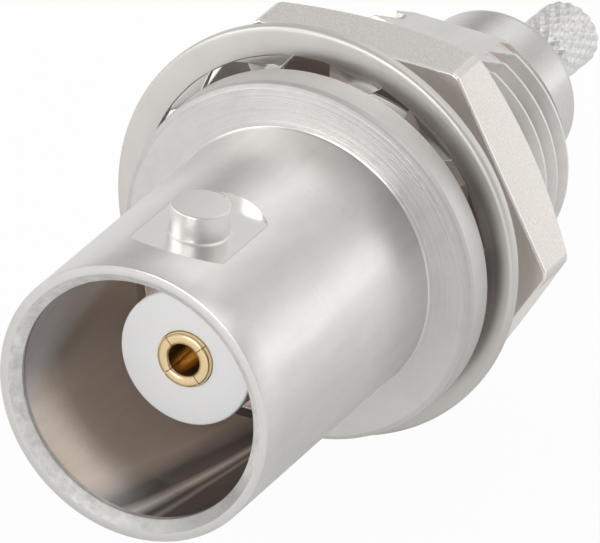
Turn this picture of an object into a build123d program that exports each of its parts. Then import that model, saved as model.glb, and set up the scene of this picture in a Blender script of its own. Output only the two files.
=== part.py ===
from build123d import *
import math
import os

# Crimp bulkhead jack with a bayonet barrel, a centre socket, a lock washer and a hex nut.
# Millimetres. The axis is Y, the mating end points to -Y and the lugs lie on Z.
# The origin is on the axis at the flange's rear face, which seats on the panel.

# Stations along the axis, measured back from the front rim
flange_rear = 12.6          # the origin's station
flange_thickness = 1.28
thread_end = 22.4
bore_floor = 8.4
insulator_front = 3.6
socket_front = 3.4
shell_rear = 26.2
post_rear = 31.24

# Barrel
barrel_r = 4.825
bore_r = 4.065
mouth_r = 4.17
mouth_depth = 0.4
mouth_taper = 2.2
rim_land_r = 4.52
rim_chamfer_depth = 0.3
rim_edge_break = 0.05
barrel_root_fillet = 0.2

# Bayonet lugs and their spot-faced pockets
lug_station = 3.95
lug_r = 0.99
lug_span = 11.0
lug_edge_break = 0.06
pocket_r = 2.3
pocket_height = 4.52        # from the axis to the milled flat
pocket_clear = 1.0          # the cutter's extra length outside the barrel

# Flange
flange_r = 6.35
flange_front_chamfer = 0.18
flange_rear_chamfer = 0.06
relief_r = 4.25
relief_width = 0.6

# Panel thread with its flat, its turns shown as plain rings
thread_r = 4.7625
thread_root_r = 4.38
thread_pitch = 0.79375
thread_end_chamfer = 0.45
flat_height = 4.0           # from the axis to the flat

# Inside of the outer body
insulator_bore_r = 2.37
counterbore_r = 2.95
counterbore_station = 11.0

# Insulators
fit_gap = 0.02              # between parts that are pushed together
insulator_edge = 0.1
bead_front = 13.0
bead_rear = 18.0

# Centre contact
socket_r = 0.96
socket_hole_r = 0.69
socket_depth = 5.0
socket_rear = 9.4
socket_mouth = 0.12
socket_lip = 0.1
slot_width = 0.16
slot_length = 4.2
slot_count = 4
slot_angle = 45.0
neck_r = 0.6
shoulder_r = 1.3
shoulder_length = 0.8
contact_rear = 21.5
cup_hole_r = 0.27
cup_depth = 2.4
cup_window_r = 0.2
cup_window_station = 20.3

# Crimp body
crimp_cavity_r = 1.6
crimp_cavity_end = 24.0
crimp_edge_round = 0.4
post_r = 1.04
post_end_r = 1.2
post_step_station = 28.6
post_end_chamfer = 0.12
cable_bore_r = 0.78

# Lock washer
washer_r = 7.3
washer_ring = 1.03
washer_thickness = 0.38
washer_front = 13.25
washer_edge_round = 0.12
washer_shift_x = -0.35
washer_shift_z = 0.15
washer_band_r = washer_r - washer_ring
tooth_count = 12
tooth_clearance = 0.46      # from the thread's crest to a tooth's tip
tooth_root_sink = 0.25      # how far a tooth's root reaches into the ring
tooth_root_thickness = 0.28
tooth_width = 2.5
tooth_tip_width = 1.9
tooth_twist = 32.0
tooth_first_angle = 7.4     # from the upper lug, clockwise as seen from the front

# Hex nut, made to go with the washer
nut_gap = 1.24              # between the loose washer and the nut
nut_thickness = 2.23
nut_flat_inset = 0.92       # flats inside the washer's edge, which the corners are cut to
nut_chamfer_inset = 0.08    # inside the flats
nut_chamfer_angle = 30.0
nut_bore_gap = 0.04
nut_mouth = 0.22
nut_turn = -1.2
nut_front = washer_front + washer_thickness + nut_gap
nut_across_flats = 2 * (washer_r - nut_flat_inset)
nut_corner_r = washer_r
nut_chamfer_r = nut_across_flats / 2 - nut_chamfer_inset


def station(s):
    """Place on the Y axis of a station measured from the front rim."""
    return s - flange_rear


def turned(points):
    """Solid of revolution about Y from (radius, station) points."""
    outline = Polyline(*[(r, station(s)) for r, s in points], close=True)
    return revolve(make_face(outline), Axis.Y)


def eased(radius, end, size, towards):
    """Two-facet easing of an outer corner, from the cylinder to the end face."""
    middle = size * (1 - math.sqrt(0.5))
    return [(radius, end + towards * size), (radius - middle, end + towards * middle),
            (radius - size, end)]


def upright(radius, low, high, at):
    """Cylinder that stands along Z at a station."""
    return Pos(0, station(at), low) * extrude(Circle(radius), high - low)


def box_between(low, high):
    """Box from its two corners."""
    size = [b - a for a, b in zip(low, high)]
    middle = [(a + b) / 2 for a, b in zip(low, high)]
    return Pos(*middle) * Box(*size)


def thread_rings(first, last):
    """Crests and roots of the panel thread between two stations, first crest first."""
    turns = int((last - first) / thread_pitch)
    points = [(thread_r, first)]
    for i in range(turns):
        points += [(thread_root_r, first + (i + 1 / 2) * thread_pitch),
                   (thread_r, first + (i + 1) * thread_pitch)]
    return points


def outer_body():
    """Barrel, lugs, flange and panel thread, turned and milled as one piece."""
    flange_front = flange_rear - flange_thickness
    thread_start = flange_rear + relief_width + thread_r - relief_r
    shape = turned([
        (rim_land_r, 0), (barrel_r - rim_edge_break, 0), (barrel_r, rim_edge_break),
        (barrel_r, flange_front - barrel_root_fillet),
        (barrel_r + barrel_root_fillet, flange_front),
        (flange_r - flange_front_chamfer, flange_front),
        (flange_r, flange_front + flange_front_chamfer),
        (flange_r, flange_rear - flange_rear_chamfer),
        (flange_r - flange_rear_chamfer, flange_rear),
        (relief_r, flange_rear), (relief_r, flange_rear + relief_width),
        *thread_rings(thread_start, thread_end - thread_end_chamfer),
        (thread_r, thread_end - thread_end_chamfer),
        (thread_r - thread_end_chamfer, thread_end),
        (counterbore_r, thread_end), (counterbore_r, counterbore_station),
        (insulator_bore_r, counterbore_station), (insulator_bore_r, bore_floor),
        (bore_r, bore_floor), (bore_r, mouth_depth + mouth_taper),
        (mouth_r, mouth_depth), (mouth_r, rim_chamfer_depth),
    ])
    top = lug_span / 2
    for side in (0, 180):
        cutter = upright(pocket_r, pocket_height, barrel_r + pocket_clear, lug_station)
        lug = upright(lug_r, (bore_r + pocket_height) / 2, top, lug_station)
        lug = chamfer(lug.edges().group_by(Axis.Z)[-1], lug_edge_break)
        shape = shape - Rot(0, side, 0) * cutter
        shape = shape + Rot(0, side, 0) * lug
    flat = box_between(
        (-thread_r, station(flange_rear), flat_height),
        (thread_r, station(thread_end), thread_r + pocket_clear))
    return shape - flat


def front_insulator():
    """Insulator that carries the socket, with a collar behind."""
    r = insulator_bore_r - fit_gap
    collar = counterbore_r - fit_gap
    shoulder_front = bead_front - shoulder_length
    return turned([
        (socket_r + fit_gap, insulator_front), (r - insulator_edge, insulator_front),
        (r, insulator_front + insulator_edge), (r, counterbore_station),
        (collar, counterbore_station), (collar, bead_front),
        (shoulder_r + fit_gap, bead_front), (shoulder_r + fit_gap, shoulder_front),
        (neck_r + fit_gap, shoulder_front), (neck_r + fit_gap, socket_rear + fit_gap),
        (socket_r + fit_gap, socket_rear + fit_gap),
    ])


def rear_insulator():
    """Bead that closes the insulator behind the contact's shoulder."""
    return turned([
        (neck_r + fit_gap, bead_front), (counterbore_r - fit_gap, bead_front),
        (counterbore_r - fit_gap, bead_rear), (neck_r + fit_gap, bead_rear),
    ])


def centre_contact():
    """Slotted socket in front, shoulder in the middle, solder cup behind."""
    floor = socket_front + socket_depth
    cup_floor = contact_rear - cup_depth
    shape = turned([
        (socket_hole_r + socket_mouth, socket_front), (socket_r - socket_lip, socket_front),
        (socket_r, socket_front + socket_lip), (socket_r, socket_rear),
        (neck_r, socket_rear), (neck_r, bead_front - shoulder_length),
        (shoulder_r, bead_front - shoulder_length), (shoulder_r, bead_front),
        (neck_r, bead_front), (neck_r, contact_rear), (cup_hole_r, contact_rear),
        (cup_hole_r, cup_floor), (0, cup_floor), (0, floor), (socket_hole_r, floor),
        (socket_hole_r, socket_front + socket_mouth),
    ])
    for i in range(slot_count):
        slot = box_between(
            (0, station(socket_front), -slot_width / 2),
            (socket_r + fit_gap, station(socket_front + slot_length), slot_width / 2))
        shape = shape - Rot(0, slot_angle + i * 360 / slot_count, 0) * slot
    return shape - upright(cup_window_r, 0, shoulder_r, cup_window_station)


def crimp_body():
    """Pressed-in rear shell with the post that the cable's braid is crimped on."""
    r = counterbore_r - fit_gap
    return turned([
        (crimp_cavity_r, bead_rear), (r, bead_rear),
        *eased(r, shell_rear, crimp_edge_round, -1),
        (post_r, shell_rear), (post_r, post_step_station),
        (post_end_r, post_step_station + post_end_r - post_r),
        (post_end_r, post_rear - post_end_chamfer), (post_end_r - post_end_chamfer, post_rear),
        (cable_bore_r, post_rear), (cable_bore_r, crimp_cavity_end),
        (crimp_cavity_r, crimp_cavity_end),
    ])


def tooth():
    """One tooth of the lock washer, twisted about its own radial axis."""
    sections = []
    stages = ((washer_band_r + tooth_root_sink, tooth_width, tooth_root_thickness, 0.0),
              (washer_band_r, tooth_width, washer_thickness, 0.3),
              (thread_r + tooth_clearance, tooth_tip_width, washer_thickness, 1.0))
    for r, width, thickness, share in stages:
        plane = Plane((0, 0, r), x_dir=(1, 0, 0), z_dir=(0, 0, 1))
        blade = Rectangle(width, thickness)
        sections.append(plane * Rot(0, 0, -tooth_twist * share) * blade)
    return loft(sections, ruled=True)


def lock_washer():
    """Ring with twisted internal teeth, hanging a little off the axis on the thread."""
    middle = washer_front + washer_thickness / 2
    rear = washer_front + washer_thickness
    ring = turned([
        *eased(washer_r, washer_front, washer_edge_round, 1), (washer_band_r, washer_front),
        (washer_band_r, rear), (washer_r, rear),
    ])
    blade = tooth()
    for i in range(tooth_count):
        angle = tooth_first_angle + i * 360 / tooth_count
        ring = ring + Rot(0, angle, 0) * Pos(0, station(middle), 0) * blade
    return Pos(washer_shift_x, 0, washer_shift_z) * ring


def hex_nut():
    """Hexagon nut with cut corners and a chamfer on its rear face."""
    rear = nut_front + nut_thickness
    plane = Plane((0, station(nut_front), 0), x_dir=(1, 0, 0), z_dir=(0, 1, 0))
    hexagon = plane * RegularPolygon(nut_across_flats / 2, 6, major_radius=False)
    rise = (nut_corner_r - nut_chamfer_r) * math.tan(math.radians(nut_chamfer_angle))
    bore_r = thread_r + nut_bore_gap
    envelope = turned([
        (bore_r + nut_mouth, nut_front), (nut_corner_r, nut_front),
        (nut_corner_r, rear - rise), (nut_chamfer_r, rear), (bore_r + nut_mouth, rear),
        (bore_r, rear - nut_mouth), (bore_r, nut_front + nut_mouth),
    ])
    return Rot(0, nut_turn, 0) * (extrude(hexagon, nut_thickness) & envelope)


PARTS = {
    "outer_body": outer_body,
    "front_insulator": front_insulator,
    "rear_insulator": rear_insulator,
    "centre_contact": centre_contact,
    "crimp_body": crimp_body,
    "lock_washer": lock_washer,
    "hex_nut": hex_nut,
}

os.makedirs("parts", exist_ok=True)
for name, make in PARTS.items():
    export_step(make(), f"parts/{name}.step")
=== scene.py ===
"""Looks of a crimp bulkhead jack, laid out as an add-on and run as a script."""

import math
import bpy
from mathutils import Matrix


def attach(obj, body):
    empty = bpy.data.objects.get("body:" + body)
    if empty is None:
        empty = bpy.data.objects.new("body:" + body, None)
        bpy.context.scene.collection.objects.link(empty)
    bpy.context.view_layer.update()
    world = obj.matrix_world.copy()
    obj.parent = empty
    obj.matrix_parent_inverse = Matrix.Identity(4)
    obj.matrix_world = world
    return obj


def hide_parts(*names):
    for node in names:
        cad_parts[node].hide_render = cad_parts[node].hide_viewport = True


bl_info = {
    "name": "Bulkhead Jack Looks",
    "version": (1, 0, 0),
    "blender": (4, 5, 0),
    "location": "3D View > Sidebar > Jack",
    "description": "Builds the dressed pieces of a coaxial bulkhead jack on its CAD frame",
    "category": "Object",
}

import bmesh
import bpy
from bpy.props import FloatProperty, FloatVectorProperty, IntProperty, PointerProperty
from mathutils import Matrix, Vector

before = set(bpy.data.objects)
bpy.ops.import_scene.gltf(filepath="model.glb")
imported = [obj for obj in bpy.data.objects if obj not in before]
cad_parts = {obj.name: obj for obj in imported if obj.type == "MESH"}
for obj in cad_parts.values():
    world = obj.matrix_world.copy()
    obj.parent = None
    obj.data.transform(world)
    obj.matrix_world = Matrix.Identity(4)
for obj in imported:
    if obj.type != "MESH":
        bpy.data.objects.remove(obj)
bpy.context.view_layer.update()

MM = 0.001
TURN = 2 * math.pi
BUMP_DEPTH = 0.00001             # metres, for the finest marks in a finish
WELD = 1e-8                      # metres, below which two points are one

# Stations in millimetres behind the front rim; the origin is at SEAT
LUG_STATION = 3.95
BORE_FLOOR = 8.4
COUNTERBORE = 11.0
FLANGE_FRONT = 11.32
SHOULDER = 12.2                  # the contact's collar, from here to the bead
SEAT = 12.6
BEAD_FRONT, BEAD_REAR = 13.0, 18.0
THREAD_START, THREAD_END = 13.2, 22.4
SHELL_REAR = 26.2
POST_STEP, POST_REAR = 28.6, 31.24

# Radii in millimetres of what fits together inside
RIM_R = 4.52
DIELECTRIC_R = 2.35
COLLAR_R = 2.93
NECK_R = 0.6
CABLE_BORE_R = 0.78

# Place and turn of the loose pieces
WASHER_SHIFT_X, WASHER_SHIFT_Z = -0.35, 0.15
FIRST_TOOTH = math.radians(7.4)
NUT_TURN = math.radians(-1.2)

# Tints laid over the finishes: painted shade, painted light and painted highlights
# Painted shade for the thread's grooves
GROOVE_SHADE = (0.62, 0.54, 0.49, 1.0)
# Bore: painted light, painted shade, painted highlight streaks and painted shade in the deep
# corner
BORE_PAINTED_LIGHT, BORE_PAINTED_SHADE = (1.0, 0.96, 0.95, 1.0), (0.2, 0.19, 0.19, 1.0)
STREAK_HIGHLIGHT, FAINT_STREAK_HIGHLIGHT = (1.0, 0.98, 0.96, 1.0), (0.9, 0.88, 0.88, 1.0)
BORE_CORNER_SHADE = (0.1, 0.08, 0.08, 1.0)
# Nut: painted shade, painted light and a painted highlight on the edge
NUT_INNER_SHADE, NUT_OUTER_LIGHT, NUT_UPPER_LEFT_SHADE = (
    (0.38, 0.31, 0.27, 1.0), (1.0, 0.96, 0.92, 1.0), (0.4, 0.36, 0.33, 1.0))
NUT_CORNER_SHADE, NUT_EDGE_HIGHLIGHT, NUT_FACET_LIGHT = (
    (0.5, 0.4, 0.33, 1.0), (1.0, 0.97, 0.92, 1.0), (1.0, 0.97, 0.93, 1.0))
# Washer: painted shade towards the ring's inner edge, a painted highlight on the teeth
WASHER_INNER_SHADE, TOOTH_HIGHLIGHT = (0.72, 0.65, 0.61, 1.0), (1.0, 0.98, 0.96, 1.0)


# Sizes and colours that a user may change

def millimetres(name, description, default):
    """A size in millimetres."""
    return FloatProperty(name=name, description=description, default=default, min=0.0)


def finish_colour(name, description, default):
    """A base colour."""
    return FloatVectorProperty(
        name=name, description=description, default=default, subtype="COLOR",
        size=3, min=0.0, max=1.0)


def watts(name, description, default):
    """A lamp's power."""
    return FloatProperty(
        name=name, description=description, default=default, min=0.0, unit="POWER")


class ShellSizes(bpy.types.PropertyGroup):
    """Sizes of the turned shell and its lugs."""
    barrel_r: millimetres("Barrel radius", "Outside of the mating barrel", 4.825)
    bore_r: millimetres("Bore radius", "Inside of the mating barrel", 4.065)
    mouth_r: millimetres("Mouth radius", "Wider entry of the bore", 4.17)
    lug_r: millimetres("Lug radius", "Radius of a bayonet lug", 0.99)
    lug_top: millimetres("Lug height", "Top of a lug above the axis", 5.5)
    pocket_r: millimetres("Pocket radius", "Spot face round a lug", 2.3)
    pocket_height: millimetres("Pocket height", "Milled flat above the axis", 4.52)
    flange_r: millimetres("Flange radius", "Outside of the flange", 6.35)
    thread_r: millimetres("Thread radius", "Crest of the panel thread", 4.7625)
    thread_pitch: millimetres("Thread pitch", "Distance between crests", 0.79375)
    flat_height: millimetres("Flat height", "Flat of the thread above the axis", 4.0)


class HardwareSizes(bpy.types.PropertyGroup):
    """Sizes of the nut, the lock washer and the crimp post."""
    nut_flats: millimetres("Nut across flats", "Width over two flats", 12.76)
    nut_corner_r: millimetres("Nut corner radius", "Radius of the cut corners", 7.3)
    nut_front: millimetres("Nut station", "Front face, from the rim", 14.87)
    nut_thickness: millimetres("Nut thickness", "Front face to rear face", 2.23)
    washer_r: millimetres("Washer radius", "Outside of the lock washer", 7.3)
    washer_ring: millimetres("Washer ring", "Width of the ring round the teeth", 1.03)
    washer_front: millimetres("Washer station", "Front face, from the rim", 13.25)
    washer_thickness: millimetres("Washer thickness", "Thickness of the stamped sheet", 0.38)
    tooth_count: IntProperty(name="Teeth", description="Internal teeth", default=12, min=3)
    tooth_tip_r: millimetres("Tooth tips", "Circle of the teeth's tips", 5.22)
    tooth_twist: FloatProperty(
        name="Tooth twist", description="Turn of a tooth's tip about its radius",
        default=math.radians(32), subtype="ANGLE", unit="ROTATION")
    knurl_starts: IntProperty(
        name="Knurl starts", description="Diamonds round the crimp post", default=18, min=8)
    knurl_depth: millimetres("Knurl depth", "Depth of the diamond pattern", 0.09)


class Finishes(bpy.types.PropertyGroup):
    """Base colours of the finishes."""
    shell: finish_colour("Shell", "Satin plating of the turned parts", (0.76, 0.75, 0.73))
    bore: finish_colour("Bore", "Thinner plating inside the barrel", (1.0, 0.87, 0.79))
    nut: finish_colour("Nut", "Matte plating of the nut", (0.80, 0.77, 0.73))
    washer: finish_colour("Washer", "Plating of the stamped washer", (0.72, 0.70, 0.67))
    knurl: finish_colour("Post", "Pale plating of the knurled post", (0.80, 0.80, 0.79))
    insulator: finish_colour("Insulator", "White fluoropolymer", (0.97, 0.972, 0.98))
    gold: finish_colour("Contact", "Gold plating", (0.93, 0.72, 0.42))


class StageSettings(bpy.types.PropertyGroup):
    """Floor, lamps and surroundings."""
    floor_drop: FloatProperty(
        name="Floor drop", description="Floor below the axis", default=0.0085,
        subtype="DISTANCE", unit="LENGTH")
    key_power: watts("Key power", "Power of the key lamp", 0.3)
    fill_power: watts("Fill power", "Power of the fill lamp", 0.25)
    front_power: watts("Front power", "Power of the lamp by the camera", 0.42)


# Shader maths

class Value:
    """A number socket of a node tree that takes part in Python expressions."""

    def __init__(self, tree, socket):
        self.tree = tree
        self.socket = socket

    def _maths(self, operation, *values):
        return self.tree.node("ShaderNodeMath", {"operation": operation}, values)

    def __add__(self, other):
        return self._maths("ADD", self, other)

    def __mul__(self, other):
        return self._maths("MULTIPLY", self, other)

    def __sub__(self, other):
        return self._maths("SUBTRACT", self, other)

    def __rsub__(self, other):
        return self._maths("SUBTRACT", other, self)

    def __truediv__(self, other):
        return self._maths("DIVIDE", self, other)

    def __pow__(self, other):
        return self._maths("POWER", self, other)

    def __abs__(self):
        return self._maths("ABSOLUTE", self)

    def __gt__(self, other):
        return self._maths("GREATER_THAN", self, other)

    def __lt__(self, other):
        return self._maths("LESS_THAN", self, other)

    __radd__ = __add__
    __rmul__ = __mul__

    def between(self, low, high):
        """1 where the value lies between two limits, else 0."""
        return (self > low) * (self < high)

    def clamped(self):
        """The value, kept between 0 and 1."""
        return self.highest(0.0).lowest(1.0)

    def root(self):
        """Square root."""
        return self._maths("SQRT", self)

    def highest(self, other):
        """The larger of two values."""
        return self._maths("MAXIMUM", self, other)

    def lowest(self, other):
        """The smaller of two values."""
        return self._maths("MINIMUM", self, other)


class Tree:
    """A node tree that is built from one method."""

    def __init__(self, owner):
        owner.use_nodes = True
        self.nodes = owner.node_tree.nodes
        self.links = owner.node_tree.links
        self.nodes.clear()

    def node(self, kind, settings=None, sockets=(), output=0):
        """Adds a node, sets its settings, then its sockets, and returns one or more outputs."""
        made = self.nodes.new(kind)
        for key, setting in (settings or {}).items():
            setattr(made, key, setting)
        pairs = sockets.items() if isinstance(sockets, dict) else enumerate(sockets)
        for key, given in pairs:
            if isinstance(given, Value):
                self.links.new(given.socket, made.inputs[key])
            else:
                made.inputs[key].default_value = given
        if isinstance(output, tuple):
            return [Value(self, made.outputs[key]) for key in output]
        return Value(self, made.outputs[output]) if made.outputs else made

    def noise(self, vector, scale, detail=3.0, roughness=0.5):
        """Noise between 0 and 1."""
        return self.node("ShaderNodeTexNoise", None, {
            "Vector": vector, "Scale": scale, "Detail": detail, "Roughness": roughness})

    def mix(self, factor, first, second):
        """Blend of two colours."""
        return self.node("ShaderNodeMix", {"data_type": "RGBA"},
                         {0: factor, 6: first, 7: second}, 2)

    def layers(self, base, *layers):
        """Base colour with (mask, colour) layers laid over it in turn."""
        for mask, colour in layers:
            base = self.mix(mask, base, colour)
        return base

    def vector(self, x, y, z):
        """Vector from three numbers."""
        return self.node("ShaderNodeCombineXYZ", None, (x, y, z))

    def bump(self, height, strength):
        """Normal that follows a height."""
        return self.node("ShaderNodeBump", None, {
            "Strength": strength, "Distance": BUMP_DEPTH, "Height": height})

    def surface(self, **sockets):
        """Principled shader on the material's output."""
        named = {key.replace("_", " "): given for key, given in sockets.items()}
        shader = self.node("ShaderNodeBsdfPrincipled", None, named)
        self.node("ShaderNodeOutputMaterial", None, {"Surface": shader})


def colour4(colour):
    """Colour with a full alpha."""
    return (*colour[:3], 1.0)


def shade(colour, factor):
    """Colour made lighter or darker."""
    return (*(min(1.0, c * factor) for c in colour[:3]), 1.0)


def places(tree):
    """Object position, its three numbers in millimetres and the distance from the axis."""
    position = tree.node("ShaderNodeTexCoord", None, (), "Object")
    metres = tree.node("ShaderNodeSeparateXYZ", None, (position,), (0, 1, 2))
    x, y, z = (part * 1000 for part in metres)
    return position, x, y, z, (x * x + z * z).root()


def barrel_zones(x, y, z, radius):
    """Masks of the barrel's zones, each 1 inside the zone and 0 outside it."""
    station = y + SEAT
    from_lug = station - LUG_STATION
    round_lug = x * x + from_lug * from_lug
    milled = abs(z) > 4.3
    return {
        "lug": milled * (round_lug < 1.12),
        "pocket": milled * (radius < 4.81) * y.between(-11.6, -5.5) * (round_lug > 1.12),
        "rim": (station < 0.4) * (radius < 4.7),
        "chamfer": radius.between(4.165, RIM_R) * (station < 0.45),
        "face_ring": (radius > 4.9) * station.between(11.25, 11.45),
        "corner": (radius > 6.13) * station.between(11.3, 11.63),
        "band": (radius > 6.2) * (station > 11.3),
        "bore": (radius < 4.165) * (y < -4.0),
    }


def bore_wall(tree, bore, x, y, z, radius):
    """Colour of the bore's wall with painted highlight streaks, painted light on its left,
    painted shade on its right and in its deep corner, and how much duller than metal it is.
    """
    lean_x, lean_z = -0.62, -0.785          # the lower left, where the painted highlight streaks lie
    station = y + SEAT
    across = (x * lean_x + z * lean_z) / radius
    from_highlight = across - (0.81 - station * 0.06)
    right_side = ((x * -lean_z + z * lean_x) / radius * 1.6).clamped()
    fine = tree.noise(tree.vector(x * 1.5, y * 0.3, z * 1.5), 2.0, 3.0, 0.5)
    # Painted light on the left side, painted shade on the right side, painted highlight streaks
    # and painted shade in the deep corner by the floor
    wall = tree.layers(
        tree.mix(fine, shade(bore, 0.93), shade(bore, 1.07)),
        ((right_side * 0.3 + 0.1 - from_highlight) * 5.0, tree.mix(right_side, BORE_PAINTED_LIGHT, BORE_PAINTED_SHADE)),
        ((1 - abs(from_highlight) * 14.0).highest(0.0), STREAK_HIGHLIGHT),
        ((1 - abs(from_highlight + 0.14) * 22.0).highest(0.0) * 0.6, FAINT_STREAK_HIGHLIGHT),
        ((station > 7.9) * (x * 0.1 + 0.7), BORE_CORNER_SHADE))
    return wall, ((0.1 - from_highlight) * 5.0).clamped() * (1 - right_side) * 0.35


def turned_metal(name, colour, roughness, bore=None, crest=0.0):
    """Satin plating over turned brass, with rings; on the barrel, painted shade and painted light
    in zones and a duller bore with painted highlight streaks; on a thread, painted shade in the
    grooves.
    """
    material = bpy.data.materials.new(name)
    tree = Tree(material)
    position, x, y, z, radius = places(tree)
    rings = tree.noise(tree.vector(radius, y, 0.0), 16.0, 5.0, 0.7)
    wide_rings = tree.noise(tree.vector(radius, y, 3.0), 1.3, 2.0)
    clouds = tree.noise(position, 420.0, 4.0, 0.6)
    grain = tree.noise(position, 9000.0, 2.0)
    along = tree.noise(tree.vector(x * 1.6, y * 0.35, z * 1.6), 1.0, 4.0, 0.6)
    tint = tree.layers(
        tree.mix(clouds * 1.6 - 0.3, shade(colour, 0.86), shade(colour, 1.06)),
        (grain * 0.25, shade(colour, 0.8)),
        (wide_rings, colour4(colour)),
        (along * 2.0 - 0.7, shade(colour, 0.88)))
    rough = roughness - 0.07 + rings * 0.08 + clouds * 0.06
    metal = 1.0
    depth = rings * 0.7 + grain * 0.3
    if crest:
        off_flat = z < 3.99
        # Painted shade: the grooves darken the deeper they lie, off the flat and within the
        # thread's length
        groove_depth_shade = (crest - 0.06 - radius) * 1.6 * off_flat * (radius > 4.2) * (y < 9.7)
        tint = tree.mix(groove_depth_shade, tint, GROOVE_SHADE)
    if bore:
        zone = barrel_zones(x, y, z, radius)
        nicks = tree.noise(position, 2600.0, 4.0, 0.65)
        waves = tree.noise(position, 330.0, 2.0)
        rough = (rough * (1 - zone["pocket"] * 0.2) + zone["lug"] * 0.12
                 + zone["rim"] * 0.16 + zone["band"] * 0.14 + zone["corner"] * 0.06
                 + zone["chamfer"] * (nicks * 0.2 + 0.1) + zone["face_ring"] * 0.12)
        depth = (depth * (1 - zone["pocket"] * 0.6) + waves * 3.0 * (radius > 4.2)
                 + zone["face_ring"] * rings * 2.5 + zone["chamfer"] * nicks * 6.0)
        nicked = tree.mix(nicks * 2.0 - 0.6, shade(colour, 1.2), shade(colour, 0.85))
        low, lowest = (z * -0.25).clamped(), (z * -0.6 - 0.6).clamped()
        # Painted light on the spot-face pockets, the lugs and the lower half of the flange's face
        bright = zone["pocket"] + zone["lug"] * 0.6 + zone["face_ring"] * low * 0.6
        wall, dulled = bore_wall(tree, bore, x, y, z, radius)
        metal = 1 - zone["bore"] * dulled
        # Over the plating, in turn: the rim land a little darker; real nicks on the rim's
        # chamfer; painted shade towards the chamfer's lower right; painted shade, mottled by the
        # nicks, on the flange's rounded corner; painted shade on the flange's rim band; the
        # painted light; the bore's wall
        tint = tree.layers(
            tint,
            (zone["rim"] * (1 - zone["chamfer"]) * 0.5, shade(colour, 0.92)),
            (zone["chamfer"], nicked),
            (zone["chamfer"] * lowest * (x + 1.5) * 0.26, shade(colour, 0.6)),
            (zone["corner"] * (nicks + 0.1), shade(colour, 0.72)),
            (zone["band"] * 0.5, shade(colour, 0.84)),
            (bright, shade(colour, 1.14)),
            (zone["bore"], wall))
    tree.surface(
        Base_Color=tint, Metallic=metal, Roughness=rough, Normal=tree.bump(depth, 0.6))
    return material


def matte_metal(name, colour, roughness, front=None):
    """Matte tumbled plating with fine speckles; on a nut's front face, painted shade and painted
    light, a painted highlight on its front edge, and painted light on the lower right facets.
    """
    material = bpy.data.materials.new(name)
    tree = Tree(material)
    position, x, y, z, radius = places(tree)
    speckle = tree.noise(position, 15000.0, 3.0, 0.75) * 2.0 - 0.5
    patches = tree.noise(position, 900.0, 4.0, 0.6)
    tint = tree.layers(
        tree.mix(speckle, shade(colour, 0.72), shade(colour, 1.22)),
        (patches * 0.3, colour4(colour)))
    rough = roughness + speckle * 0.16 + patches * 0.06
    if front is not None:
        inside = y - (front - SEAT)
        on_face = inside < 0.004
        on_edge = inside.between(0.004, 0.11)
        outer = on_face * (radius > 5.7)
        # Painted shade on the front face inside, at the upper left and towards the corners;
        # painted light on its outer ring and on the lower right facets; a painted highlight on
        # the front edge
        tint = tree.layers(
            tint,
            (on_face * (radius < 5.7), NUT_INNER_SHADE),
            (outer, NUT_OUTER_LIGHT),
            (outer * (x < 0.0) * (z > 0.0), NUT_UPPER_LEFT_SHADE),
            (on_face * (radius - 6.3).highest(0.0) * 0.45, NUT_CORNER_SHADE),
            (on_edge * 0.8, NUT_EDGE_HIGHLIGHT),
            ((inside > 0.1) * (x > 0.0) * (z < -0.5), NUT_FACET_LIGHT))
        rough = rough - on_edge * 0.12 + on_face * 0.3
    tree.surface(
        Base_Color=tint, Metallic=1.0, Roughness=rough,
        Normal=tree.bump(speckle + patches * 0.6, 0.35))
    return material


def stamped_metal(name, colour, front):
    """Plated spring sheet with faint rolling marks, painted shade towards the ring's inner edge
    and a painted highlight where a tooth stands in front.
    """
    material = bpy.data.materials.new(name)
    tree = Tree(material)
    position, x, y, z, radius = places(tree)
    rolling = tree.noise(tree.vector(x * 0.35, y, z * 5), 2.0, 4.0, 0.6)
    patches = tree.noise(position, 700.0, 3.0)
    # Painted highlight: where a tooth stands in front of the ring it turns whiter and less
    # metallic; painted shade darkens the ring towards its inner edge
    ahead = ((front - SEAT - y) * 9.0 + 0.15).clamped() * (radius < 6.3)
    tint = tree.layers(
        tree.mix(patches, shade(colour, 0.9), shade(colour, 1.06)),
        ((6.8 - radius).highest(0.0) * 1.1, WASHER_INNER_SHADE),
        (ahead, TOOTH_HIGHLIGHT))
    tree.surface(
        Base_Color=tint, Metallic=1 - ahead,
        Roughness=0.27 + rolling * 0.1 + patches * 0.06 + (radius > 6.9) * 0.14,
        Normal=tree.bump(rolling + patches * 0.5, 0.3))
    return material


def white_plastic(name, colour):
    """Smooth fluoropolymer with faint turning marks."""
    material = bpy.data.materials.new(name)
    tree = Tree(material)
    position, _, y, _, radius = places(tree)
    rings = tree.noise(tree.vector(radius, y, 0.0), 12.0, 3.0)
    clouds = tree.noise(position, 500.0, 2.0)
    tint = tree.mix(clouds, shade(colour, 0.985), shade(colour, 1.01))
    tree.surface(
        Base_Color=tint, Roughness=0.38 + rings * 0.1, Subsurface_Weight=0.1,
        Subsurface_Scale=0.0006, Normal=tree.bump(rings, 0.25))
    return material


def gold_plate(name, colour):
    """Bright gold plating with fine turning marks."""
    material = bpy.data.materials.new(name)
    tree = Tree(material)
    position, _, y, _, radius = places(tree)
    rings = tree.noise(tree.vector(radius, y, 0.0), 14.0, 3.0, 0.6)
    clouds = tree.noise(position, 1500.0, 2.0)
    tint = tree.mix(clouds, shade(colour, 0.92), shade(colour, 1.06))
    tree.surface(
        Base_Color=tint, Metallic=1.0, Roughness=0.17 + rings * 0.1 + clouds * 0.05,
        Normal=tree.bump(rings, 0.3))
    return material


# Mesh building

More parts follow.
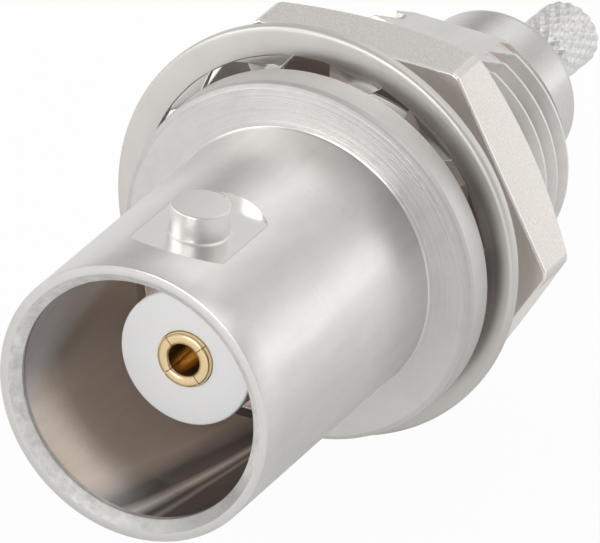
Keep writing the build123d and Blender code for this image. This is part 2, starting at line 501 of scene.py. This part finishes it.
def rounded(corners, steps=4):
    """Outline in (radius, station) with each (radius, station, round) corner rounded."""
    outline = []
    count = len(corners)
    for i, (r, s, size) in enumerate(corners):
        here = Vector((r, s))
        if size <= 0:
            outline.append((r, s))
            continue
        back = Vector(corners[i - 1][:2]) - here
        ahead = Vector(corners[(i + 1) % count][:2]) - here
        reach = size / math.tan(back.angle(ahead) / 2)
        reach = min(reach, 0.49 * back.length, 0.49 * ahead.length)
        start, end = here + back.normalized() * reach, here + ahead.normalized() * reach
        for k in range(steps + 1):
            t = k / steps
            point = start.lerp(here, t).lerp(here.lerp(end, t), t)
            outline.append((point.x, point.y))
    return outline


def grid_mesh(name, rows):
    """Mesh of rows of points that close both ways."""
    mesh = bpy.data.meshes.new(name)
    across, along = len(rows[0]), len(rows)
    points = [p for row in rows for p in row]
    faces = []
    for i in range(along):
        after = (i + 1) % along
        for j in range(across):
            beside = (j + 1) % across
            faces.append((i * across + j, i * across + beside,
                          after * across + beside, after * across + j))
    mesh.from_pydata(points, [], faces)
    return mesh


def around(name, outline_at, columns):
    """Mesh round the Y axis; outline_at gives the (radius, station) outline at an angle."""
    rows = []
    for angle in columns:
        sine, cosine = math.sin(angle), math.cos(angle)
        rows.append([(r * sine * MM, (s - SEAT) * MM, r * cosine * MM)
                     for r, s in outline_at(angle)])
    return grid_mesh(name, rows)


def even_angles(count):
    """Evenly spaced angles over a full turn."""
    return [TURN * i / count for i in range(count)]


def lathe(name, outline, count=192):
    """Solid of revolution about the Y axis."""
    return around(name, lambda angle: outline, even_angles(count))


def finished(mesh, sharp=35.0):
    """Cleans a mesh, points its faces out and shades it by angle."""
    work = bmesh.new()
    work.from_mesh(mesh)
    bmesh.ops.remove_doubles(work, verts=work.verts, dist=WELD)
    bmesh.ops.dissolve_degenerate(work, dist=WELD, edges=work.edges)
    bmesh.ops.recalc_face_normals(work, faces=work.faces)
    work.to_mesh(mesh)
    work.free()
    mesh.shade_smooth()
    mesh.set_sharp_from_angle(angle=math.radians(sharp))
    return mesh


def flat_faces(mesh, height):
    """Shades the faces that lie level at a height above or below the axis as true flats."""
    for face in mesh.polygons:
        if abs(face.normal.z) > 0.999 and abs(abs(face.center.z) - height * MM) < 1e-6:
            face.use_smooth = False
    return mesh


def placed(mesh, *materials):
    """Object of a mesh in the scene."""
    made = bpy.data.objects.new(mesh.name, mesh)
    for material in materials:
        made.data.materials.append(material)
    bpy.context.scene.collection.objects.link(made)
    return made


def joined(name, *meshes):
    """One mesh of several."""
    work = bmesh.new()
    for mesh in meshes:
        work.from_mesh(mesh)
    whole = bpy.data.meshes.new(name)
    work.to_mesh(whole)
    work.free()
    return whole


def cut(mesh, *cutters):
    """Mesh with other meshes cut out of it."""
    body = placed(finished(mesh))
    tools = [placed(finished(cutter)) for cutter in cutters]
    for tool in tools:
        step = body.modifiers.new(tool.name, "BOOLEAN")
        step.operation = "DIFFERENCE"
        step.solver = "EXACT"
        step.object = tool
    bpy.context.view_layer.update()
    shown = body.evaluated_get(bpy.context.evaluated_depsgraph_get())
    result = bpy.data.meshes.new_from_object(shown)
    result.name = mesh.name
    for made in (body, *tools):
        bpy.data.objects.remove(made)
    if not result.polygons:
        raise RuntimeError("a cut left nothing of " + mesh.name)
    return result


def upright_lathe(name, outline, station, turn=0.0, count=64):
    """Solid of revolution about a line along Z at a station, turned about the Y axis."""
    rows = []
    place = Matrix.Rotation(turn, 4, "Y") @ Matrix.Translation((0, (station - SEAT) * MM, 0))
    for angle in even_angles(count):
        rows.append([place @ Vector((r * math.cos(angle) * MM, r * math.sin(angle) * MM, h * MM))
                     for r, h in outline])
    return grid_mesh(name, rows)


def block(name, low, high, turn=0.0):
    """Box between two corners in millimetres, turned about the Y axis."""
    work = bmesh.new()
    bmesh.ops.create_cube(work, size=1.0)
    size = [(b - a) * MM for a, b in zip(low, high)]
    middle = [(a + b) / 2 * MM for a, b in zip(low, high)]
    place = (Matrix.Rotation(turn, 4, "Y") @ Matrix.Translation(middle)
             @ Matrix.Diagonal((*size, 1.0)))
    bmesh.ops.transform(work, matrix=place, verts=work.verts)
    mesh = bpy.data.meshes.new(name)
    work.to_mesh(mesh)
    work.free()
    return mesh


def ride(mesh, body, slot, nodes, *materials):
    """Puts a piece on its body in place of its CAD nodes."""
    piece = placed(mesh, *materials)
    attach(piece, body)
    if nodes:
        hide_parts(*nodes)


# Pieces

def barrel_mesh(sizes):
    """Barrel, spot faces, lugs and flange."""
    r, bore, mouth, flange = sizes.barrel_r, sizes.bore_r, sizes.mouth_r, sizes.flange_r
    relief_r, relief_rear = 4.2, 13.3       # the neck behind the flange, under the thread
    inside_r, seat_r = 3.2, 2.36            # round the bead and round the insulator
    rings = [(r, s * 0.25, 0) for s in range(5, 31)]
    outline = rounded([
        (RIM_R, 0, 0.03), (r - 0.04, 0, 0), (r - 0.012, 0.014, 0), (r, 0.05, 0),
        *rings,
        (r, 9.5, 0), (r, FLANGE_FRONT, 0.08), (flange - 0.19, FLANGE_FRONT, 0.03),
        (flange - 0.04, 11.41, 0.1), (flange, 11.6, 0.1), (flange, SEAT, 0.07),
        (relief_r, SEAT, 0.03), (relief_r, relief_rear, 0), (inside_r, relief_rear, 0),
        (inside_r, COUNTERBORE, 0), (seat_r, COUNTERBORE, 0), (seat_r, BORE_FLOOR, 0.05),
        (bore, BORE_FLOOR, 0.08), (bore, 2.6, 1.0), (mouth, 0.4, 0.05), (mouth, 0.3, 0.03),
    ])
    body = lathe("barrel", outline, 256)
    floor, outside = sizes.pocket_height, 6.0
    pocket = [(0.0, floor), (sizes.pocket_r, floor), (sizes.pocket_r, outside), (0.0, outside)]
    pockets = [upright_lathe("pocket", pocket, LUG_STATION, turn, 128) for turn in (0.0, math.pi)]
    body = cut(body, *pockets)
    root, foot_r = 4.3, sizes.lug_r + 0.07
    lug = rounded([
        (0.0, root, 0), (foot_r, root, 0), (foot_r, floor, 0),
        (sizes.lug_r, floor + 0.05, 0.04), (sizes.lug_r, sizes.lug_top, 0.07),
        (0.0, sizes.lug_top, 0)])
    lugs = [upright_lathe("lug", lug, LUG_STATION, turn, 96) for turn in (0.0, math.pi)]
    return joined("outer_shell", body, *lugs)


def thread_profile():
    """One turn's profile: place in shares of the pitch, drop in shares of the depth."""
    flank = 0.3125
    marks = [(0.0, 0.0), (0.045, 0.0), (0.0625, -0.012), (0.0625 + flank * 0.33, -0.34),
             (0.0625 + flank * 0.66, -0.66), (0.36, -0.975), (0.4, -1.0), (0.5, -1.0)]
    return marks + [(1 - place, drop) for place, drop in reversed(marks[1:-1])]


def thread_mesh(sizes):
    """Right-handed panel thread with its flat and its chamfered end."""
    crest, pitch = sizes.thread_r, sizes.thread_pitch
    depth = 0.541 * pitch
    chamfer = 0.45
    steps = 240
    profile = thread_profile()
    per_turn = len(profile)
    total = (int((THREAD_END - THREAD_START) / pitch) + 4) * per_turn
    points, faces = [], []
    for i in range(steps):
        angle = TURN * i / steps
        for j in range(total):
            place, drop = profile[j % per_turn]
            s = THREAD_START - 1.5 * pitch + (j // per_turn + place + i / steps) * pitch
            r = min(crest + drop * depth, crest - chamfer + max(0.0, THREAD_END - s))
            height = min(r * math.cos(angle), sizes.flat_height)
            points.append((r * math.sin(angle) * MM, (s - SEAT) * MM, height * MM))
    for i in range(steps):
        shift = per_turn if i == steps - 1 else 0
        after = (i + 1) % steps
        for j in range(total - 1 - shift):
            faces.append((i * total + j, i * total + j + 1,
                          after * total + j + 1 + shift, after * total + j + shift))
    mesh = bpy.data.meshes.new("panel_thread")
    mesh.from_pydata(points, [], faces)
    work = bmesh.new()
    work.from_mesh(mesh)
    for s, side in ((THREAD_START, -1), (THREAD_END, 1)):
        found = bmesh.ops.bisect_plane(
            work, geom=work.verts[:] + work.edges[:] + work.faces[:],
            plane_co=(0, (s - SEAT) * MM, 0), plane_no=(0, side, 0), clear_outer=True, dist=WELD)
        rim = [e for e in found["geom_cut"] if isinstance(e, bmesh.types.BMEdge)]
        bmesh.ops.edgeloop_fill(work, edges=rim)
    work.to_mesh(mesh)
    work.free()
    return mesh


class JACK_OT_shell(bpy.types.Operator):
    """Turned outer shell: barrel, lugs, flange and panel thread"""
    bl_idname = "jack.shell"
    bl_label = "Outer shell"

    def execute(self, context):
        sizes = context.scene.jack_shell
        colours = context.scene.jack_finishes
        plating = turned_metal("satin_plating", colours.shell, 0.29, colours.bore)
        barrel = flat_faces(finished(barrel_mesh(sizes)), sizes.pocket_height)
        ride(barrel, "shell", "plated_shell", ["outer_body"], plating)
        # Painted light: the thread takes a copy of the shell's plating made lighter, with painted
        # shade in its grooves
        threads = turned_metal(
            "thread_plating", shade(colours.shell, 1.15), 0.4, crest=sizes.thread_r)
        thread = flat_faces(finished(thread_mesh(sizes), 25.0), sizes.flat_height)
        ride(thread, "shell", "plated_shell", [], threads)
        return {"FINISHED"}


class JACK_OT_insulators(bpy.types.Operator):
    """White insulator in the barrel and the bead behind it"""
    bl_idname = "jack.insulators"
    bl_label = "Insulators"

    def execute(self, context):
        plastic = white_plastic("fluoropolymer", context.scene.jack_finishes.insulator)
        front, hole_r, neck_r = 3.6, 0.98, NECK_R + 0.02
        outline = rounded([
            (hole_r, front, 0.04), (DIELECTRIC_R, front, 0.1), (DIELECTRIC_R, COUNTERBORE, 0),
            (COLLAR_R, COUNTERBORE, 0.03), (COLLAR_R, BEAD_FRONT, 0.03), (1.32, BEAD_FRONT, 0),
            (1.32, SHOULDER, 0), (neck_r, SHOULDER, 0), (neck_r, 9.42, 0), (hole_r, 9.42, 0)])
        ride(finished(lathe("front_dielectric", outline, 160)), "shell", "insulator",
             ["front_insulator"], plastic)
        bead = rounded([(neck_r, BEAD_FRONT, 0.03), (COLLAR_R, BEAD_FRONT, 0.05),
                        (COLLAR_R, BEAD_REAR, 0.05), (neck_r, BEAD_REAR, 0.03)])
        ride(finished(lathe("rear_dielectric", bead, 128)), "shell", "insulator",
             ["rear_insulator"], plastic)
        return {"FINISHED"}


class JACK_OT_contact(bpy.types.Operator):
    """Gold centre contact with its slotted socket"""
    bl_idname = "jack.contact"
    bl_label = "Centre contact"

    def execute(self, context):
        gold = gold_plate("gold_plating", context.scene.jack_finishes.gold)
        front, tip_r, socket_r, rear = 3.4, 0.545, 0.965, 9.4
        hole_r, hole_end = 0.68, BORE_FLOOR
        shoulder_r, tail, cup_r, cup_end, inner_r = 1.3, 21.5, 0.27, 19.1, 0.02
        outline = rounded([
            (tip_r, front, 0.17), (socket_r, front, 0.15), (socket_r, rear, 0.05),
            (NECK_R, rear, 0), (NECK_R, SHOULDER, 0), (shoulder_r, SHOULDER, 0.05),
            (shoulder_r, BEAD_FRONT, 0.05), (NECK_R, BEAD_FRONT, 0), (NECK_R, tail, 0.04),
            (cup_r, tail, 0.03), (cup_r, cup_end, 0), (inner_r, cup_end, 0),
            (inner_r, hole_end, 0), (hole_r, hole_end, 0), (hole_r, 5.5, 1.0),
            (tip_r, 3.9, 0.3)], 6)
        half_slot, slot_end = 0.014, 7.6
        slots = [block("slot", (0.3, front - 0.2 - SEAT, -half_slot),
                       (1.2, slot_end - SEAT, half_slot), math.radians(45 + 90 * i))
                 for i in range(4)]
        window = upright_lathe("window", [(0.0, 0.0), (0.2, 0.0), (0.2, 1.0), (0.0, 1.0)], 20.3)
        mesh = cut(lathe("socket_contact", outline, 128), *slots, window)
        ride(finished(mesh), "shell", "gold_contact", ["centre_contact"], gold)
        return {"FINISHED"}


def knurled(sizes, start, step, end, first_r, last_r, bore):
    """Crimp post with a diamond knurl on both of its sections."""
    starts, deep = sizes.knurl_starts, sizes.knurl_depth
    spacing, end_chamfer, mouth = 0.035, 0.1, 0.06
    stations = []
    s = start
    while s < end:
        stations.append(s)
        s += spacing

    def outline_at(angle):
        line = [(bore, start), (first_r - deep, start)]
        for s in stations:
            r = first_r if s < step else min(last_r, first_r + (s - step) * 0.5)
            r = min(r, last_r - end_chamfer + (end - s))
            swirl = 0.55 * s * starts / last_r
            left, right = (1 - abs((starts * angle + sign * swirl) / math.pi % 2 - 1)
                           for sign in (1, -1))
            line.append((r - deep * (0.15 * (left + right) + 0.7 * (left * right) ** 0.8), s))
        line += [(last_r - end_chamfer - deep, end), (bore + mouth, end), (bore, end - mouth)]
        return line

    return around("knurled_post", outline_at, even_angles(starts * 14))


class JACK_OT_crimp(bpy.types.Operator):
    """Rear shell and the knurled crimp post"""
    bl_idname = "jack.crimp"
    bl_label = "Crimp end"

    def execute(self, context):
        colours = context.scene.jack_finishes
        # Painted shade: the rear shell takes a copy of the shell's plating made darker
        plating = turned_metal("rear_plating", shade(colours.shell, 0.88), 0.27)
        cavity_r, cavity_end = 1.6, 24.0
        shell = rounded([
            (cavity_r, BEAD_REAR, 0), (COLLAR_R, BEAD_REAR, 0.05), (COLLAR_R, SHELL_REAR, 0.42),
            (CABLE_BORE_R, SHELL_REAR, 0), (CABLE_BORE_R, cavity_end, 0),
            (cavity_r, cavity_end, 0)], 8)
        ride(finished(lathe("rear_shell", shell)), "shell", "plated_shell",
             ["crimp_body"], plating)
        post = knurled(context.scene.jack_hardware, SHELL_REAR - 0.1, POST_STEP, POST_REAR,
                       1.04, 1.2, CABLE_BORE_R)
        lean_x, lean_z, length = 0.09 * MM, -0.07 * MM, 5.0
        for vertex in post.vertices:
            reach = max(0.0, vertex.co.y / MM + SEAT - SHELL_REAR) / length
            vertex.co.x += lean_x * reach
            vertex.co.z += lean_z * reach
        pale = matte_metal("knurl_plating", colours.knurl, 0.26)
        ride(finished(post, 50.0), "shell", "plated_shell", [], pale)
        return {"FINISHED"}


def tooth_mesh(sizes, middle, angle):
    """One twisted tooth of the lock washer, lofted from the band to its tip."""
    half = sizes.washer_thickness * 0.4
    inner = sizes.washer_r - sizes.washer_ring
    tip = sizes.tooth_tip_r - inner
    soft = 0.04
    twist_start, twist_length = 0.05, 0.35
    rows = []
    for reach in (0.15, 0.05, 0.01, -0.03, -0.07, -0.11, -0.16, -0.22, -0.3, tip * 0.6, tip):
        radius = inner + reach
        share = min(1.0, max(0.0, (twist_start - reach) / twist_length))
        turn = sizes.tooth_twist * share ** 0.9
        wide = max(0.95, 1.25 + reach * 0.75)
        trim = 0.1 if reach == tip else 0.0
        ring = []
        for sx, sy in ((1, 1), (-1, 1), (-1, -1), (1, -1)):
            for dx, dy in (((0, soft), (soft, 0)) if sx == sy else ((soft, 0), (0, soft))):
                u = sx * (wide - trim - dx)
                v = sy * (half - trim * 0.3 - dy)
                swing = (u * math.cos(turn) + v * math.sin(turn)) / radius
                along = -u * math.sin(turn) + v * math.cos(turn)
                ring.append((radius * math.sin(swing), along, radius * math.cos(swing)))
        rows.append(ring)
    work = bmesh.new()
    place = Matrix.Rotation(angle, 4, "Y") @ Matrix.Translation((0, (middle - SEAT) * MM, 0))
    verts = [[work.verts.new(place @ (Vector(p) * MM)) for p in ring] for ring in rows]
    around_tooth = len(rows[0])
    for near, beyond in zip(verts, verts[1:]):
        for j in range(around_tooth):
            n = (j + 1) % around_tooth
            side = work.faces.new((near[j], near[n], beyond[n], beyond[j]))
            side.material_index = 1 if j in (3, 7) else 0      # its two edges cut by shearing, which take the darker painted-shade material
    work.faces.new(verts[-1])
    work.faces.new(verts[0])
    mesh = bpy.data.meshes.new("tooth")
    work.to_mesh(mesh)
    work.free()
    return mesh


class JACK_OT_washer(bpy.types.Operator):
    """Internal-tooth lock washer, hanging a little off the axis"""
    bl_idname = "jack.washer"
    bl_label = "Lock washer"

    def execute(self, context):
        sizes = context.scene.jack_hardware
        front, thick = sizes.washer_front, sizes.washer_thickness
        colour = context.scene.jack_finishes.washer
        steel = stamped_metal("washer_plating", colour, front)
        # Painted shade: the teeth's cut edges take a copy of the plating at under half its
        # brightness
        edge_shade = stamped_metal("washer_edge_shade", shade(colour, 0.45), front - 5.0)
        inner = sizes.washer_r - sizes.washer_ring
        band = rounded([
            (inner, front, 0.06), (sizes.washer_r, front, 0.2),
            (sizes.washer_r, front + thick, 0.05), (inner, front + thick, 0.06)], 6)
        teeth = [tooth_mesh(sizes, front + thick / 2, FIRST_TOOTH + TURN * i / sizes.tooth_count)
                 for i in range(sizes.tooth_count)]
        mesh = joined("toothed_washer", lathe("band", band, 256), *teeth)
        mesh.transform(Matrix.Translation((WASHER_SHIFT_X * MM, 0, WASHER_SHIFT_Z * MM)))
        ride(finished(mesh, 30.0), "washer", "plated_washer", ["lock_washer"], steel, edge_shade)
        return {"FINISHED"}


class JACK_OT_nut(bpy.types.Operator):
    """Hexagon nut with cut corners and a rear chamfer"""
    bl_idname = "jack.nut"
    bl_label = "Hex nut"

    def execute(self, context):
        sizes = context.scene.jack_hardware
        matte = matte_metal("nut_plating", context.scene.jack_finishes.nut, 0.3, sizes.nut_front)
        apothem, corner = sizes.nut_flats / 2, sizes.nut_corner_r
        front, rear = sizes.nut_front, sizes.nut_front + sizes.nut_thickness
        bore_r, mouth_r, mouth, face_r = 4.8, 5.02, 0.22, 6.3
        side, blend = TURN / 6, 0.03

        def side_radius(angle):
            folded = (angle - NUT_TURN + side / 2) % side - side / 2
            flat = apothem / math.cos(folded)
            gap = max(0.0, 1 - abs(flat - corner) / blend)
            return min(flat, corner) - blend * gap * gap / 4

        def outline_at(angle):
            r = side_radius(angle)
            drop = (r - face_r) * math.tan(math.radians(30))
            return rounded([
                (bore_r, front + mouth, 0), (mouth_r, front, 0.03), (r, front, 0.09),
                (r, rear - drop, 0.06), (face_r, rear, 0.04), (mouth_r, rear, 0.03),
                (bore_r, rear - mouth, 0)], 5)

        # Columns crowd towards the corners, where the flats meet the cut edge
        bend, even_share, half = 0.35, 0.6, 14
        offsets = [28.8, 29.0, 29.1, 29.25, 29.6, 30.0, 30.4, 30.75, 30.9, 31.0, 31.2]
        for k in range(-half, half + 1):
            share = abs(k) / half
            bent = share ** bend if share > even_share else share * even_share ** (bend - 1)
            offsets.append(math.copysign(bent, k) * 28.6)
        columns = {NUT_TURN + flat * side + math.radians(offset)
                   for flat in range(6) for offset in offsets}
        mesh = around("panel_nut", outline_at, sorted(columns))
        ride(finished(mesh, 24.0), "nut", "plated_nut", ["hex_nut"], matte)
        return {"FINISHED"}


# Stage

def aimed_lamp(name, place, target, size, power):
    """Soft square area lamp that looks at a point."""
    data = bpy.data.lights.new(name, "AREA")
    data.shape = "RECTANGLE"
    data.size = data.size_y = size
    data.energy = power
    lamp = bpy.data.objects.new(name, data)
    lamp.location = place
    direction = Vector(target) - Vector(place)
    lamp.rotation_euler = direction.to_track_quat("-Z", "Y").to_euler()
    bpy.context.scene.collection.objects.link(lamp)


def white_floor(settings):
    """Pale floor that shows white to the camera and in reflections, with the shadow kept."""
    material = bpy.data.materials.new("pale_floor")
    tree = Tree(material)
    seen, mirrored = tree.node(
        "ShaderNodeLightPath", None, (), ("Is Camera Ray", "Is Glossy Ray"))
    plain = tree.node("ShaderNodeBsdfDiffuse", None, {"Color": (0.9, 0.9, 0.9, 1.0)})
    white = tree.node("ShaderNodeEmission", None, {"Color": (1, 1, 1, 1), "Strength": 1.0})
    x, y = places(tree)[1:3]
    near, fade = 14, 45                     # millimetres from the object's middle
    far = (((x * x + y * y).root() - near) / fade).clamped()
    shown = seen * 0.95 + mirrored * (far * 0.55 + 0.17)
    mixed = tree.node("ShaderNodeMixShader", None, (shown, plain, white))
    tree.node("ShaderNodeOutputMaterial", None, {"Surface": mixed})
    mesh = bpy.data.meshes.new("floor")
    half = 3.0
    mesh.from_pydata([(-half, -half, 0), (half, -half, 0), (half, half, 0), (-half, half, 0)],
                     [], [(0, 1, 2, 3)])
    floor = placed(mesh, material)
    floor.location.z = -settings.floor_drop


def surroundings():
    """Light tent: bright above, dimmer at the sides."""
    world = bpy.data.worlds.new("light_tent")
    bpy.context.scene.world = world
    tree = Tree(world)
    facing = tree.node("ShaderNodeTexCoord", None, (), "Generated")
    x, y, z = tree.node("ShaderNodeSeparateXYZ", None, (facing,), (0, 1, 2))
    level = tree.noise(facing, 2.2, 3.0, 0.5) * 0.28 + 0.34
    for towards, tightness, strength in (
            ((-0.08, 0.8, 0.6), 22, 0.75), ((0.6, 0.8, 0.05), 14, 1.05),
            ((-0.6, 0.7, 0.1), 10, 0.45), ((-0.5, -0.6, 0.5), 6, 0.35),
            ((0.375, -0.796, 0.475), 10, -0.25), ((-0.5, 0.8, 0.34), 60, -0.4)):
        a, b, c = Vector(towards).normalized()
        level += (x * a + y * b + z * c).highest(0.0) ** tightness * strength
    glow = tree.node(
        "ShaderNodeBackground", None, {"Color": (1.0, 0.99, 0.98, 1.0), "Strength": level})
    tree.node("ShaderNodeOutputWorld", None, {"Surface": glow})


def photo_camera():
    """Camera of the photograph: long lens, a little rolled."""
    photo_width, focal_pixels = 600, 12565.0667
    right = Vector((0.88636689, 0.45812445, 0.06690079))
    up = Vector((-0.27100915, 0.3962361, 0.87724056))
    ahead = Vector((-0.37537684, 0.79568771, -0.47536648))
    place = Vector((153.72472, -314.16191 - SEAT, 194.20917)) * MM
    data = bpy.data.cameras.new("photo_camera")
    data.sensor_width = 36.0
    data.lens = focal_pixels / photo_width * data.sensor_width
    data.clip_start, data.clip_end = 0.01, 20.0
    camera = bpy.data.objects.new("photo_camera", data)
    turn = Matrix((right, up, -ahead)).transposed().to_4x4()
    camera.matrix_world = Matrix.Translation(place) @ turn
    bpy.context.scene.collection.objects.link(camera)
    bpy.context.scene.camera = camera


class JACK_OT_stage(bpy.types.Operator):
    """Floor, lamps, surroundings and the camera"""
    bl_idname = "jack.stage"
    bl_label = "Stage"

    def execute(self, context):
        settings = context.scene.jack_stage
        white_floor(settings)
        surroundings()
        middle = (0.0, 0.003, 0.0)
        aimed_lamp("key", (-0.29, -0.12, 0.17), middle, 0.24, settings.key_power)
        aimed_lamp("fill", (0.2, 0.1, 0.35), middle, 0.3, settings.fill_power)
        aimed_lamp("front", (-0.04, -0.4, 0.1), middle, 0.14, settings.front_power)
        photo_camera()
        context.scene.view_settings.view_transform = "Standard"
        return {"FINISHED"}


class JACK_PT_panel(bpy.types.Panel):
    """Lists the pieces and their sizes in the sidebar"""
    bl_label = "Jack"
    bl_idname = "JACK_PT_panel"
    bl_space_type = "VIEW_3D"
    bl_region_type = "UI"
    bl_category = "Jack"

    def draw(self, context):
        layout = self.layout
        for group in (context.scene.jack_shell, context.scene.jack_hardware,
                      context.scene.jack_finishes, context.scene.jack_stage):
            box = layout.box()
            for name in group.__annotations__:
                box.prop(group, name)
        for operator in OPERATORS:
            layout.operator(operator.bl_idname)


OPERATORS = (JACK_OT_shell, JACK_OT_insulators, JACK_OT_contact, JACK_OT_crimp,
             JACK_OT_washer, JACK_OT_nut, JACK_OT_stage)
GROUPS = {"jack_shell": ShellSizes, "jack_hardware": HardwareSizes,
          "jack_finishes": Finishes, "jack_stage": StageSettings}


def register():
    for made in (*GROUPS.values(), *OPERATORS, JACK_PT_panel):
        bpy.utils.register_class(made)
    for name, group in GROUPS.items():
        setattr(bpy.types.Scene, name, PointerProperty(type=group))


def unregister():
    for name in GROUPS:
        delattr(bpy.types.Scene, name)
    for made in reversed((*GROUPS.values(), *OPERATORS, JACK_PT_panel)):
        bpy.utils.unregister_class(made)


def main():
    """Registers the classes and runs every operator."""
    register()
    for operator in OPERATORS:
        group, name = operator.bl_idname.split(".")
        getattr(getattr(bpy.ops, group), name)()


if __name__ == "__main__":
    main()
